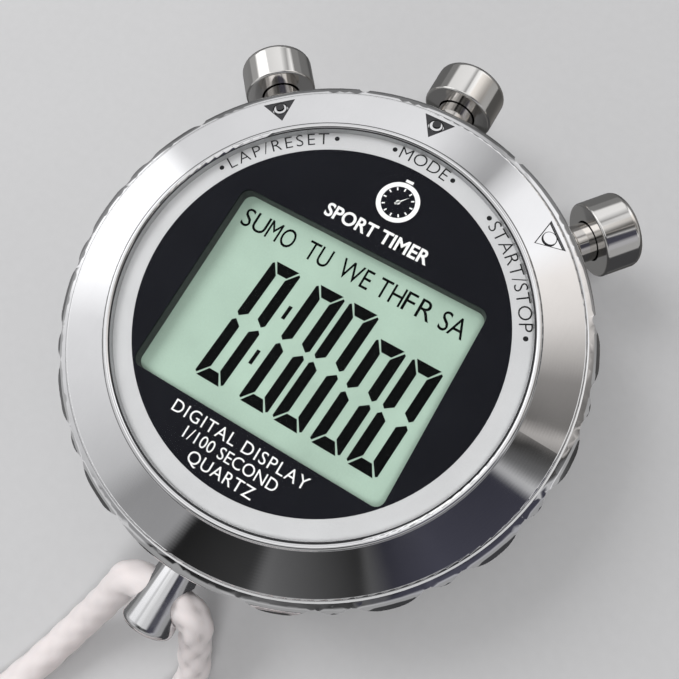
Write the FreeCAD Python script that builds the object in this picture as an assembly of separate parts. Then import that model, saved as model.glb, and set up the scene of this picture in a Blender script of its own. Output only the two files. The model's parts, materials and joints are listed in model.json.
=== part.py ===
import FreeCAD, Part
import math
import os

# Digital hand stopwatch in a scalloped metal case, lying on its back.
# +Z is the face normal, +Y points to the middle (mode) button, +X to the right of the dial.
# The origin is the centre of the case back's flat outer face. All lengths are in millimetres.
# On a button or the post, u is the distance out from the watch's own axis.

# ---- driving dimensions: case ----
bezel_r = 31.0
dial_z = 17.0
lip_rise = 1.1
lip_r = 24.95
lip_outer_r = 25.84
cone_rise = 0.68
cone_drop = 0.42
rim_round = 0.3
bezel_in_r = 24.1
ledge_z = 16.3
seat_r = 28.0
seat_z = 14.0
bore_r = 26.0
case_top = 16.0
shoulder_drop = 1.6
wall_foot_z = 8.5
back_edge_r = 29.0
back_t = 1.6
back_r = 28.9
back_gasket_in_r = 26.12
back_gasket_out_r = 26.48
back_gasket_t = 0.48
back_screw_pcd_r = 27.3
back_screw_angles = (45.0, 135.0, 225.0, 315.0)

# ---- driving dimensions: grip ----
lobe_r = 32.9
small_lobe_r = 32.45
valley_r = 32.0
dip_r = 31.92
notch_r = 31.75
pad_r = 32.35
pad_end_r = 32.25
pad_half = 20.0
notch_half = 1.2
first_lobe = 67.5
lobe_pitch = 22.5
lobe_count = 5
lobe_half = 6.6
small_lobe_half = 2.7
post_dip = 1.9

# ---- driving dimensions: dial and display ----
mask_r = 22.47
sheet_t = 0.3
crystal_t = 1.0
crystal_gap = 0.03
window_w = 34.0
window_h = 25.7
window_y = -2.2
window_corner = 1.2
display_depth = 2.0
window_frame_r = 23.9
glass_w = 37.4
glass_h = 29.4
glass_t = 0.6
film_t = 0.2

# ---- driving dimensions: buttons and post ----
button_angle = 40.5
button_z = 10.5
cap_r = 4.9
cap_in = 35.7
cap_out = 40.5
cap_floor = 38.6
sleeve_r = 2.5
collar_r = 2.9
collar_u = 31.7
stem_r = 1.2
stem_tip_u = 24.6
stem_nose_r = 0.5
stem_end_u = 39.6
spring_seat_u = 31.0
seal_u = 29.4
case_wall_out_u = 36.0
leaf_arm = 6.2
leaf_u = 24.4
leaf_t = 0.2
leaf_eye_r = 0.4
post_z = 11.5
post_end = 40.2
post_hole_u = 36.0
post_neck_u = 32.0
post_neck_r = 2.45
tenon_r = 1.48
tenon_u = 27.6

# ---- driving dimensions: movement ----
board_z = 10.0
board_t = 1.0
board_r = 23.6
button_side_board_r = 22.9
button_side_half_angle = 62.0
module_r = 25.7
module_screw_places = [(x, y) for x in (-20.7, 20.7) for y in (4.0, -7.0)]
cell_r = 10.0
cell_t = 3.2
cell_y = -8.0

# ---- driving dimensions: lanyard ----
cord_d = 4.2
floor_gap = 0.05
tie_t = 0.6
tie_half = 3.0
coil_x, coil_y = 13.0, -81.0
coil_turn_r = 21.1
coil_layers = 3
knot_r = 6.3
knot_stretch = 1.2
knot_x, knot_y, knot_z = -17.5, -97.0, 6.4

lip_z = dial_z + lip_rise
display_z = dial_z - display_depth
board_top = board_z + board_t
lay_z = cord_d / 2 + floor_gap
button_angles = {"lap": -button_angle, "mode": 0.0, "start": button_angle}

# Centre line of each free stretch of cord, from the post's cross hole outwards.
left_route = [(0.0, -36.0, 11.5), (-6.4, -36.0, 11.5), (-10.4, -40.8, 6.6), (-12.4, -49.6, 2.4),
              (-15.4, -58.5, lay_z), (-18.6, -70.0, lay_z), (-20.6, -82.0, lay_z + 0.4), (-19.8, -93.0, 4.6)]
right_route = [(0.0, -36.0, 11.5), (7.2, -36.0, 11.5), (9.2, -40.8, 5.8), (6.6, -48.6, 2.4),
               (-0.6, -56.0, lay_z), (-6.6, -64.5, lay_z), (-9.6, -75.0, lay_z + 0.3)]
tail_route = [(-10.6, -80.0, 10.6), (-12.4, -87.0, 8.4), (-15.0, -93.4, 7.0)]

V = FreeCAD.Vector
X_AXIS, Y_AXIS, Z_AXIS = V(1, 0, 0), V(0, 1, 0), V(0, 0, 1)
DIAGONAL = math.sqrt(0.5)
parts = {}


# ---- shape helpers ----
def polar(radius, angle, z=0.0):
    """A point at a clock angle: degrees clockwise from +Y, seen from above."""
    turn = math.radians(angle)
    return V(radius * math.sin(turn), radius * math.cos(turn), z)


def disc(radius, z0, z1, x=0.0, y=0.0):
    return Part.makeCylinder(radius, z1 - z0, V(x, y, z0), Z_AXIS)


def ring(r_in, r_out, z0, z1, x=0.0, y=0.0):
    return disc(r_out, z0, z1, x, y).cut(disc(r_in, z0, z1, x, y))


def block(x0, x1, y0, y1, z0, z1):
    return Part.makeBox(x1 - x0, y1 - y0, z1 - z0, V(x0, y0, z0))


def panel(width, height, z0, z1, corner=0.0):
    """A flat rectangular plate behind the display window, centred on it."""
    plate = block(-width / 2, width / 2, window_y - height / 2, window_y + height / 2, z0, z1)
    if corner:
        upright = [e for e in plate.Edges if abs(e.tangentAt(e.FirstParameter).z) > 0.99]
        plate = plate.makeFillet(corner, upright)
    return plate


def turned(outline, axis_from, axis_dir, start_dir):
    """Turn an outline of (radius, along) points about an axis.

    A point may carry a third item, the (radius, along) point that an arc to it passes through.
    """
    def place(radius, along):
        return axis_from + start_dir * radius + axis_dir * along

    edges = []
    closed = outline + outline[:1]
    for here, there in zip(closed, closed[1:]):
        start, end = place(*here[:2]), place(*there[:2])
        if len(there) == 3:
            edges.append(Part.Arc(start, place(*there[2]), end).toShape())
        else:
            edges.append(Part.LineSegment(start, end).toShape())
    return Part.Face(Part.Wire(edges)).revolve(axis_from, axis_dir, 360)


def turned_upright(outline):
    """Turn an outline of (radius, z) points about the watch's own axis."""
    return turned(outline, V(0, 0, 0), Z_AXIS, X_AXIS)


def turned_radial(outline, height):
    """Turn an outline of (radius, u) points about the +Y line at a height."""
    return turned(outline, V(0, 0, height), Y_AXIS, X_AXIS)


def clocked(shape, angle):
    """Turn a shape made at 12 o'clock to another clock angle."""
    copy = shape.copy()
    copy.rotate(V(0, 0, 0), Z_AXIS, -angle)
    return copy


def button_side_room(r_in, z0, z1):
    """The ring sector kept free for the three stems, clips and contact leaves."""
    r_out = 30.0
    span = Part.makeCylinder(r_out, z1 - z0, V(0, 0, z0), Z_AXIS, 2 * button_side_half_angle)
    span.rotate(V(0, 0, 0), Z_AXIS, 90 - button_side_half_angle)
    return span.cut(disc(r_in, z0, z1))


def coil_spring(base, direction, coil_r, wire_r, length, turns):
    """A wire spring with its axis from base along direction."""
    helix = Part.makeHelix((length - 2 * wire_r) / turns, length - 2 * wire_r, coil_r)
    section = Part.Wire(Part.makeCircle(wire_r, V(coil_r, 0, 0), Y_AXIS))
    wire = Part.Wire(helix).makePipeShell([section], True, True)
    wire.translate(V(0, 0, wire_r))
    wire.Placement = FreeCAD.Placement(base, FreeCAD.Rotation(Z_AXIS, direction)) * wire.Placement
    return wire


def screw(head_r, head_t, shank_r, length, x, y, z_head):
    """A cross-head screw driven along +Z, with its head's outer face at z_head."""
    head = Part.makeCylinder(head_r, head_t, V(0, 0, 0), Z_AXIS)
    rim = [e for e in head.Edges if e.BoundBox.ZMax < 0.01 and e.Closed]
    head = head.makeFillet(head_t * 0.35, rim)
    body = head.fuse(Part.makeCylinder(shank_r, length, V(0, 0, head_t), Z_AXIS))
    slot_half, slot_w, slot_d = head_r * 0.62, head_r * 0.16, head_t * 0.55
    body = body.cut(block(-slot_half, slot_half, -slot_w, slot_w, 0, slot_d))
    body = body.cut(block(-slot_w, slot_w, -slot_half, slot_half, 0, slot_d))
    body.translate(V(x, y, z_head))
    return body


# ---- case ----
def outline_arc(angle_0, r_0, r_mid, angle_1, r_1):
    """An arc between two clock angles that passes through r_mid half way."""
    middle = polar(r_mid, (angle_0 + angle_1) / 2)
    return Part.Arc(polar(r_0, angle_0), middle, polar(r_1, angle_1)).toShape()


def button_pads():
    """A smooth pad at each button, with a notch between neighbours."""
    reach = pad_half - notch_half
    edges = []
    for middle in (-2 * pad_half, 0.0, 2 * pad_half):
        edges.append(outline_arc(middle - reach, pad_end_r, pad_r, middle + reach, pad_end_r))
    for notch in (-pad_half, pad_half):
        edges.append(outline_arc(notch - notch_half, pad_end_r, notch_r, notch + notch_half, pad_end_r))
    return edges


def grip_side(side):
    """The grip from the outer button pad down to the post pad, on the right (1) or the left (-1)."""
    pads_end = 3 * pad_half
    at = pads_end + notch_half
    spans = [(pads_end - notch_half, pad_end_r, notch_r, at, valley_r)]
    for count in range(lobe_count):
        big = first_lobe + count * lobe_pitch
        spans.append((at, valley_r, lobe_r, big + lobe_half, valley_r))
        at = big + lobe_half
        if count < lobe_count - 1:
            small = big + lobe_pitch / 2
            next_lobe = big + lobe_pitch - lobe_half
            spans.append((at, valley_r, dip_r, small - small_lobe_half, valley_r))
            spans.append((small - small_lobe_half, valley_r, small_lobe_r, small + small_lobe_half, valley_r))
            spans.append((small + small_lobe_half, valley_r, dip_r, next_lobe, valley_r))
            at = next_lobe
    post_pad = at + post_dip
    spans.append((at, valley_r, dip_r, post_pad, valley_r))
    spans.append((post_pad, valley_r, pad_r - 0.02, 180.0, pad_r))
    return [outline_arc(side * a0, r0, r_mid, side * a1, r1) for a0, r0, r_mid, a1, r1 in spans]


def scalloped_prism():
    edges = button_pads() + grip_side(1) + grip_side(-1)
    prism = Part.Face(Part.Wire(Part.__sortEdges__(edges))).extrude(V(0, 0, case_top - back_t))
    prism.translate(V(0, 0, back_t))
    return prism


def case_envelope():
    """The turned body that trims the grip: rounded shoulder, tapered foot, and the bezel's seat."""
    shoulder_r = bezel_r - 0.1
    shoulder_mid = (shoulder_r + (lobe_r - shoulder_r) * DIAGONAL, case_top - shoulder_drop * (1 - DIAGONAL))
    foot_mid = (back_edge_r + (lobe_r - back_edge_r) * DIAGONAL,
                wall_foot_z - (wall_foot_z - back_t) * DIAGONAL)
    return turned_upright([
        (bore_r, back_t), (back_edge_r, back_t), (lobe_r, wall_foot_z, foot_mid),
        (lobe_r, case_top - shoulder_drop), (shoulder_r, case_top, shoulder_mid),
        (seat_r, case_top), (seat_r, seat_z), (bore_r, seat_z)])


def button_bore():
    inside_u, collar_bore_r = 20.0, collar_r + 0.05
    return turned_radial([(0, inside_u), (sleeve_r, inside_u), (sleeve_r, collar_u), (collar_bore_r, collar_u),
                          (collar_bore_r, case_wall_out_u), (0, case_wall_out_u)], button_z)


def post_socket():
    hole_r, hole_u, neck_bore_r = tenon_r + 0.02, tenon_u - 0.1, post_neck_r + 0.1
    return turned_radial([(0, hole_u), (hole_r, hole_u), (hole_r, post_neck_u), (neck_bore_r, post_neck_u),
                          (neck_bore_r, case_wall_out_u), (0, case_wall_out_u)], post_z)


def make_case_middle():
    groove_gap, thread_r, thread_top = 0.02, 0.7, 5.6
    case = scalloped_prism().common(case_envelope())
    case = case.cut(ring(back_gasket_in_r - groove_gap, back_gasket_out_r + groove_gap,
                         back_t, back_t + back_gasket_t + groove_gap))
    for angle in button_angles.values():
        case = case.cut(clocked(button_bore(), angle))
    case = case.cut(clocked(post_socket(), 180))
    for angle in back_screw_angles:
        at = polar(back_screw_pcd_r, angle)
        case = case.cut(disc(thread_r, back_t, thread_top, at.x, at.y))
    return case


def button_mark():
    """A shallow triangular pocket pointing at the dial, with a round boss left in it."""
    apex_r, base_r, half_base, boss_at, boss_r = 26.9, 30.25, 2.1, 29.05, 0.8
    floor, above = 0.22, 3.0
    tri = Part.Face(Part.makePolygon([V(0, apex_r, 0), V(half_base, base_r, 0),
                                      V(-half_base, base_r, 0), V(0, apex_r, 0)]))
    pocket = tri.extrude(V(0, 0, above)).cut(disc(boss_r, 0, above, 0, boss_at))
    slope = (cone_rise + cone_drop) / (bezel_r - rim_round - lip_outer_r)
    middle = (apex_r + base_r) / 2
    surface = dial_z + cone_rise - slope * (middle - lip_outer_r)
    pocket.rotate(V(0, middle, 0), X_AXIS, -math.degrees(math.atan(slope)))
    pocket.translate(V(0, 0, surface - floor))
    return pocket


def make_bezel():
    lip_mid_r, skirt_r, skirt_z, step_r = 25.38, seat_r - 0.05, seat_z + 0.1, 26.6
    cone_foot_z = dial_z - cone_drop
    rim_mid = (bezel_r - 0.07, cone_foot_z - 0.06)
    bezel = turned_upright([
        (bezel_in_r, ledge_z - 0.6), (bezel_in_r, ledge_z), (lip_r, ledge_z), (lip_r, lip_z - 0.22),
        (lip_outer_r, dial_z + cone_rise, (lip_mid_r, lip_z)),
        (bezel_r - rim_round, cone_foot_z), (bezel_r, cone_foot_z - 0.24, rim_mid),
        (bezel_r, case_top), (skirt_r, case_top), (skirt_r, skirt_z),
        (step_r, skirt_z), (step_r, skirt_z + 1.1)])
    for angle in button_angles.values():
        bezel = bezel.cut(clocked(button_mark(), angle))
    return bezel


def make_case_back():
    edge, groove_w, groove_d = 0.45, 0.35, 0.2
    hole_r, counterbore_r, counterbore_d = 0.75, 1.3, 0.9
    back = turned_upright([(0, 0), (back_r - edge, 0), (back_r, edge), (back_r, back_t), (0, back_t)])
    for groove_r in (22.4, 23.4):
        back = back.cut(ring(groove_r, groove_r + groove_w, 0, groove_d))
    for angle in back_screw_angles:
        at = polar(back_screw_pcd_r, angle)
        back = back.cut(disc(hole_r, 0, back_t, at.x, at.y))
        back = back.cut(disc(counterbore_r, 0, counterbore_d, at.x, at.y))
    return back


def make_back_screws():
    head_r, head_t, shank_r, length, sunk = 1.25, 0.75, 0.68, 4.6, 0.15
    places = [polar(back_screw_pcd_r, angle) for angle in back_screw_angles]
    return Part.makeCompound([screw(head_r, head_t, shank_r, length, at.x, at.y, sunk) for at in places])


def build_case():
    parts["case_middle"] = make_case_middle()
    parts["front_bezel"] = make_bezel()
    parts["case_back"] = make_case_back()
    parts["case_back_gasket"] = ring(back_gasket_in_r, back_gasket_out_r, back_t, back_t + back_gasket_t)
    parts["case_back_screws"] = make_back_screws()


# ---- dial and display ----
def window(z0, z1):
    return panel(window_w, window_h, z0, z1, window_corner)


def build_dial():
    sheet_z, frame_z = dial_z - sheet_t, display_z + 0.05
    crystal_r, edge = lip_r - crystal_gap, 0.12
    parts["crystal"] = turned_upright([
        (0, dial_z), (crystal_r, dial_z), (crystal_r, dial_z + crystal_t - edge),
        (crystal_r - edge, dial_z + crystal_t), (0, dial_z + crystal_t)])
    parts["crystal_gasket"] = ring(bezel_in_r + 0.05, crystal_r, ledge_z, sheet_z)
    parts["dial_ring"] = ring(mask_r + 0.01, crystal_r, sheet_z, dial_z)
    parts["dial_mask"] = disc(mask_r, sheet_z, dial_z).cut(window(sheet_z, dial_z))
    parts["window_frame"] = disc(window_frame_r, frame_z, sheet_z).cut(window(frame_z, sheet_z))


def build_display():
    """Top film, two glass plates and the reflector, held on two rubber strips from the board."""
    front_z = display_z - film_t - glass_t
    rear_z = front_z - glass_t
    parts["lcd_polarizer"] = panel(glass_w - 1.4, window_h + 1.6, front_z + glass_t, display_z)
    parts["lcd_front_glass"] = panel(glass_w, glass_h, front_z, front_z + glass_t)
    parts["lcd_rear_glass"] = panel(glass_w, glass_h - 3.6, rear_z, front_z)
    parts["lcd_reflector"] = panel(glass_w - 0.8, glass_h - 3.8, rear_z - film_t, rear_z)
    strip_half, strip_half_w, strip_inset = 17.0, 0.8, 0.9
    for name, side in (("upper_zebra_strip", 1), ("lower_zebra_strip", -1)):
        middle = window_y + side * (glass_h / 2 - strip_inset)
        parts[name] = block(-strip_half, strip_half, middle - strip_half_w, middle + strip_half_w,
                            board_top, front_z)


# ---- movement ----
def make_module_frame():
    glass_seat_z, light_w, stem_room_r, stem_room_top = 13.3, 34.4, 20.5, 13.2
    screw_hole_r, screw_hole_top = 0.6, 13.4
    frame = disc(module_r, board_top, display_z)
    frame = frame.cut(panel(glass_w + 0.2, glass_h + 0.2, glass_seat_z, display_z))
    frame = frame.cut(panel(light_w, glass_h - 0.2, board_top, glass_seat_z))
    frame = frame.cut(button_side_room(stem_room_r, board_top, stem_room_top))
    for x, y in module_screw_places:
        frame = frame.cut(disc(screw_hole_r, board_top, screw_hole_top, x, y))
    return frame


def make_circuit_board():
    screw_hole_r = 0.65
    board = disc(board_r, board_z, board_top)
    board = board.cut(button_side_room(button_side_board_r, board_z, board_top))
    for x, y in module_screw_places:
        board = board.cut(disc(screw_hole_r, board_z, board_top, x, y))
    return board


def make_module_retainer():
    """The ring between the board and the case back, cut away where the stems pass."""
    retainer = ring(23.0, module_r + 0.1, back_t + 0.1, board_z)
    return retainer.cut(button_side_room(22.5, 7.9, board_z))


def build_movement():
    head_r, head_t, shank_r, length = 1.1, 0.6, 0.58, 3.2
    parts["module_frame"] = make_module_frame()
    parts["circuit_board"] = make_circuit_board()
    parts["module_retainer"] = make_module_retainer()
    parts["module_screws"] = Part.makeCompound([screw(head_r, head_t, shank_r, length, x, y, board_z - head_t)
                                                for x, y in module_screw_places])


def build_board_parts():
    dome_r, dome_h, dome_y = 4.2, 1.3, -2.0
    ball_r = (dome_r ** 2 + dome_h ** 2) / (2 * dome_h)
    ball = Part.makeSphere(ball_r, V(0, dome_y, board_top + dome_h - ball_r))
    parts["chip_potting"] = ball.common(disc(dome_r + 1, board_top, board_top + dome_h + 1, 0, dome_y))
    can_r, can_length = 0.95, 6.0
    parts["timing_crystal"] = Part.makeCylinder(can_r, can_length, V(9.5, -4.5, board_top + can_r), Y_AXIS)
    chip_y, chip_l, chip_w, chip_h = 4.0, 1.6, 0.8, 0.7
    parts["chip_capacitors"] = Part.makeCompound(
        [block(x, x + chip_l, chip_y, chip_y + chip_w, board_top, board_top + chip_h)
         for x in (-12.0, -9.0, -6.0)])


def make_battery_cell(cell_bottom, cell_top):
    edge, step_w, step_h = 0.25, 1.2, 0.5
    cell = turned_upright([
        (0, cell_bottom), (cell_r - edge, cell_bottom), (cell_r, cell_bottom + edge),
        (cell_r, cell_top - step_h), (cell_r - step_w, cell_top), (0, cell_top)])
    cell.translate(V(0, cell_y, 0))
    return cell


def build_power():
    cell_top = board_z - 1.2
    cell_bottom = cell_top - cell_t
    pocket_r, holder_r, holder_lift = cell_r + 0.15, cell_r + 1.8, 0.6
    parts["battery_cell"] = make_battery_cell(cell_bottom, cell_top)
    parts["battery_holder"] = ring(pocket_r, holder_r, cell_bottom + holder_lift, board_z, 0, cell_y)
    tongue_half_w, tongue_half, tongue_t, pip_r = 2.0, 6.5, 0.25, 1.5
    tongue = block(-tongue_half_w, tongue_half_w, cell_y - tongue_half, cell_y + tongue_half,
                   board_z - tongue_t, board_z)
    parts["battery_negative_contact"] = tongue.fuse(disc(pip_r, cell_top, board_z - tongue_t, 0, cell_y))
    clip_t, leg_x, clip_half = 0.3, holder_r + 0.1, 2.0
    strap_z, y0, y1 = cell_bottom - clip_t, cell_y - clip_half, cell_y + clip_half
    strap = block(-leg_x - clip_t, leg_x + clip_t, y0, y1, strap_z, cell_bottom)
    for x0 in (-leg_x - clip_t, leg_x):
        strap = strap.fuse(block(x0, x0 + clip_t, y0, y1, cell_bottom, board_z))
    parts["battery_clip"] = strap
    film_r, insulator_t = 11.0, 0.15
    parts["battery_insulator"] = disc(film_r, strap_z - insulator_t, strap_z, 0, cell_y)


def build_buzzer():
    buzzer_y, plate_r, plate_t, ceramic_r, ceramic_t = 9.0, 10.0, 0.3, 7.0, 0.25
    ceramic_z = back_t + plate_t
    spring_z, spring_y = ceramic_z + ceramic_t, buzzer_y + 2.5
    spring_r, wire_r, turns = 1.5, 0.16, 8
    parts["buzzer_plate"] = disc(plate_r, back_t, ceramic_z, 0, buzzer_y)
    parts["buzzer_ceramic"] = disc(ceramic_r, ceramic_z, spring_z, 0, buzzer_y)
    parts["buzzer_spring"] = coil_spring(V(0, spring_y, spring_z), Z_AXIS, spring_r, wire_r,
                                         board_z - spring_z, turns)


# ---- buttons: each piece is made at 12 o'clock ----
def make_sleeve():
    bore_in_r, spring_room_r, seal_room_r = stem_r + 0.05, 2.1, 1.72
    inner_u, collar_end, collar_lean, tube_end = 25.9, 33.3, 0.3, 37.2
    seal_room_0, seal_room_1 = seal_u - 1.8, seal_u + 1.0
    return turned_radial([
        (bore_in_r, inner_u), (sleeve_r, inner_u), (sleeve_r, collar_u), (collar_r, collar_u),
        (collar_r, collar_end), (sleeve_r, collar_end + collar_lean), (sleeve_r, tube_end),
        (spring_room_r, tube_end), (spring_room_r, spring_seat_u), (bore_in_r, spring_seat_u),
        (bore_in_r, seal_room_1), (seal_room_r, seal_room_1), (seal_room_r, seal_room_0),
        (bore_in_r, seal_room_0)], button_z)


def make_cap():
    round_out, round_in, hollow_r = 0.85, 0.3, 2.7
    bend = 1 - DIAGONAL
    skirt_mid = (cap_r - round_in * bend, cap_in + round_in * bend)
    crown_mid = (cap_r - round_out * bend, cap_out - round_out * bend)
    return turned_radial([
        (hollow_r, cap_in), (cap_r - round_in, cap_in), (cap_r, cap_in + round_in, skirt_mid),
        (cap_r, cap_out - round_out), (cap_r - round_out, cap_out, crown_mid), (0, cap_out),
        (0, stem_end_u), (stem_r, stem_end_u), (stem_r, cap_floor), (hollow_r, cap_floor)], button_z)


def make_stem_and_clip():
    """The stem, with a nose that presses the leaf, and the clip that sits in its neck."""
    nose_end, clip_u, clip_t, clip_gap, neck_r, clip_r = 25.2, 25.35, 0.35, 0.05, 0.85, 2.0
    groove_r, groove_half = 0.94, 0.4
    neck_0, neck_1 = clip_u - clip_gap, clip_u + clip_t + clip_gap
    stem = turned_radial([
        (0, stem_tip_u), (stem_nose_r, stem_tip_u), (stem_r, nose_end), (stem_r, neck_0), (neck_r, neck_0),
        (neck_r, neck_1), (stem_r, neck_1), (stem_r, seal_u - groove_half), (groove_r, seal_u - groove_half),
        (groove_r, seal_u + groove_half), (stem_r, seal_u + groove_half), (stem_r, stem_end_u),
        (0, stem_end_u)], button_z)
    clip = turned_radial([(neck_r, clip_u), (clip_r, clip_u), (clip_r, clip_u + clip_t),
                          (neck_r, clip_u + clip_t)], button_z)
    mouth_half = 0.8
    clip = clip.cut(block(-mouth_half, mouth_half, clip_u - 1, clip_u + 1, button_z - clip_r - 1, button_z))
    return stem, clip


def make_contact_leaf():
    """A flat leaf whose root is rolled into an eye on the bracket's pin."""
    tip_v, eye_wall, z0, z1 = -0.8, 0.22, 9.5, 10.9
    plate = block(tip_v, leaf_arm - leaf_eye_r - 0.1, leaf_u - leaf_t / 2, leaf_u + leaf_t / 2, z0, z1)
    return plate.fuse(ring(leaf_eye_r, leaf_eye_r + eye_wall, z0, z1, leaf_arm, leaf_u))


def make_leaf_bracket():
    """A foot on the board with the pin that the leaf turns on."""
    pin_r, pin_foot, foot_half, foot_t, foot_in, foot_out = leaf_eye_r - 0.05, 9.4, 0.6, 0.3, 20.8, 24.9
    foot = block(leaf_arm - foot_half, leaf_arm + foot_half, foot_in, foot_out, board_top, board_top + foot_t)
    return foot.fuse(disc(pin_r, pin_foot, board_top, leaf_arm, leaf_u))


def button_pieces():
    """One button's pieces: each name and its shape."""
    seal_mid_r, seal_wire_r = 1.31, 0.37
    spring_r, spring_wire_r, spring_turns = 1.66, 0.17, 7
    stem, clip = make_stem_and_clip()
    seal = Part.makeTorus(seal_mid_r, seal_wire_r, V(0, seal_u, button_z), Y_AXIS)
    spring = coil_spring(V(0, spring_seat_u, button_z), Y_AXIS, spring_r, spring_wire_r,
                         cap_floor - spring_seat_u, spring_turns)
    return {"cap": make_cap(), "sleeve": make_sleeve(), "stem": stem, "clip": clip, "seal": seal,
            "spring": spring, "contact_leaf": make_contact_leaf()}


def build_buttons():
    pieces = button_pieces()
    for button, angle in button_angles.items():
        for piece, shape in pieces.items():
            parts[f"{button}_button_{piece}"] = clocked(shape, angle)
    bracket = make_leaf_bracket()
    parts["contact_leaf_brackets"] = Part.makeCompound([clocked(bracket, a) for a in button_angles.values()])


# ---- lanyard ----
def make_post():
    """A flared post with a tenon in the case and a cross hole for the cord."""
    round_end, end_r, neck_step, hole_gap, hole_half = 0.9, 3.3, 0.6, 0.1, 6.0
    end_mid = (end_r - round_end * 0.27, post_end - round_end * 0.32)
    post = turned_radial([
        (0, tenon_u), (tenon_r, tenon_u), (tenon_r, post_neck_u), (post_neck_r, post_neck_u),
        (post_neck_r + 0.05, post_neck_u + neck_step), (end_r - 0.03, post_end - round_end),
        (end_r - round_end, post_end, end_mid), (0, post_end)], post_z)
    hole = Part.makeCylinder(cord_d / 2 + hole_gap, 2 * hole_half, V(-hole_half, post_hole_u, post_z), X_AXIS)
    return clocked(post.cut(hole), 180)


def rounded_path(route):
    """Straight runs joined by tangent arcs, with each arc's radius."""
    points = [V(*p) for p in route]
    edges, radii = [], []
    start = points[0]
    for before, corner, after in zip(points, points[1:], points[2:]):
        back, ahead = before - corner, after - corner
        turn = math.pi - back.getAngle(ahead)
        reach = 0.45 * min(back.Length, ahead.Length)
        radii.append(reach / math.tan(turn / 2))
        back.normalize()
        ahead.normalize()
        arc_in, arc_out = corner + back * reach, corner + ahead * reach
        inward = back + ahead
        inward.normalize()
        middle = corner + inward * (radii[-1] / math.cos(turn / 2) - radii[-1])
        edges.append(Part.LineSegment(start, arc_in).toShape())
        edges.append(Part.Arc(arc_in, middle, arc_out).toShape())
        start = arc_out
    edges.append(Part.LineSegment(start, points[-1]).toShape())
    return Part.Wire(edges), radii


def cord_tube(name, route):
    path, radii = rounded_path(route)
    heading = V(*route[1]) - V(*route[0])
    section = Part.Wire(Part.makeCircle(cord_d / 2, V(*route[0]), heading))
    tube = path.makePipeShell([section], True, False)
    expected = math.pi * (cord_d / 2) ** 2 * path.Length
    print(name, "length", round(path.Length, 1), "volume ratio", round(tube.Volume / expected, 4),
          "radii", [round(r, 1) for r in radii])
    return tube


def largest(shape):
    return max(shape.Solids, key=lambda solid: solid.Volume)


def make_coil(coil_top):
    """The outer shape of the put-away turns, raised by the tie that passes under them."""
    rim_round = 1.9
    coil = ring(coil_turn_r - cord_d, coil_turn_r + cord_d, tie_t, coil_top, coil_x, coil_y)
    rims = [e for e in coil.Edges if e.Closed and e.BoundBox.ZLength < 0.01]
    return coil.makeFillet(rim_round, rims)


def make_knot():
    stretch = FreeCAD.Matrix()
    stretch.scale(1.0, knot_stretch, 1.0)
    knot = Part.makeSphere(knot_r, V(0, 0, 0)).transformGeometry(stretch)
    knot.translate(V(knot_x, knot_y, knot_z))
    return knot


def build_lanyard():
    coil_top = tie_t + coil_layers * cord_d
    coil, knot = make_coil(coil_top), make_knot()
    tie_x, tie_reach = coil_x + coil_turn_r, cord_d + tie_t
    tie = block(tie_x - tie_reach, tie_x + tie_reach, coil_y - tie_half, coil_y + tie_half,
                0.02, coil_top + tie_t).cut(coil)
    parts["lanyard_post"] = make_post()
    parts["lanyard_coil"] = coil
    parts["lanyard_knot"] = knot
    parts["coil_tie"] = largest(tie)
    parts["lanyard_cord_left"] = largest(cord_tube("left", left_route).cut(knot))
    parts["lanyard_cord_right"] = largest(cord_tube("right", right_route).cut(coil))
    parts["lanyard_cord_tail"] = largest(cord_tube("tail", tail_route).cut(coil).cut(knot))


def write_parts():
    os.makedirs("parts", exist_ok=True)
    for name, shape in parts.items():
        if not shape.isValid():
            raise ValueError(name + " is not a valid shape")
        shape.exportStep("parts/" + name + ".step")
        print(name, len(shape.Solids), round(shape.Volume, 2))


build_case()
build_dial()
build_display()
build_movement()
build_board_parts()
build_power()
build_buzzer()
build_buttons()
build_lanyard()
write_parts()
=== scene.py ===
import json
import math

import bmesh
import bpy
import numpy as np
from mathutils import Matrix, Vector


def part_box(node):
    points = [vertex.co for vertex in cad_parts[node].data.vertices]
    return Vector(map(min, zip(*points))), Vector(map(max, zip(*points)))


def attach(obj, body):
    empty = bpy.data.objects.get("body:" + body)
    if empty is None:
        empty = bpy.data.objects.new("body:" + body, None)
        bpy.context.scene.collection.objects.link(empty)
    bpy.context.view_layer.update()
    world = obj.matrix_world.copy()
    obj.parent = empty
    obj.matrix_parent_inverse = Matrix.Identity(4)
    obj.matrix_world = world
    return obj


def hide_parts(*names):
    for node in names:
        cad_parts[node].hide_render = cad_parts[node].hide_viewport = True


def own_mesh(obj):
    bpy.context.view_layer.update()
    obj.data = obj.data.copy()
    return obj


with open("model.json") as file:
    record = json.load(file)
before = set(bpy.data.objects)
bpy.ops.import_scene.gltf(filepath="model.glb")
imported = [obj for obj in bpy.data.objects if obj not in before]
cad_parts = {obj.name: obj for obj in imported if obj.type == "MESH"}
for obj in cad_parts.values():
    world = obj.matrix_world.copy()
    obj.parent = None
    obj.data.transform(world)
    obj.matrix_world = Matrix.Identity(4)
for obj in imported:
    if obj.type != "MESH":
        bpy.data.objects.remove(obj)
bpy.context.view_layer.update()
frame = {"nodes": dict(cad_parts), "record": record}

# A hand stopwatch lying on its back. The frame is in metres, and lengths below are in millimetres times MM.
# The origin is the centre of the case back. +Z is the face normal and +Y points to the mode button.
MM = 0.001
BUTTONS = (("lap", -40.5), ("mode", 0.0), ("start", 40.5))
NO_RADIUS = 0.0001
scene = bpy.context.scene


def top_of(node):
    """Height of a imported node's highest point, in metres."""
    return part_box(node)[1].z


def polar(radius, angle, z):
    """A point at a clock angle: degrees clockwise from +Y, seen from above."""
    turn = math.radians(angle)
    return Vector((radius * math.sin(turn), radius * math.cos(turn), z))


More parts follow.
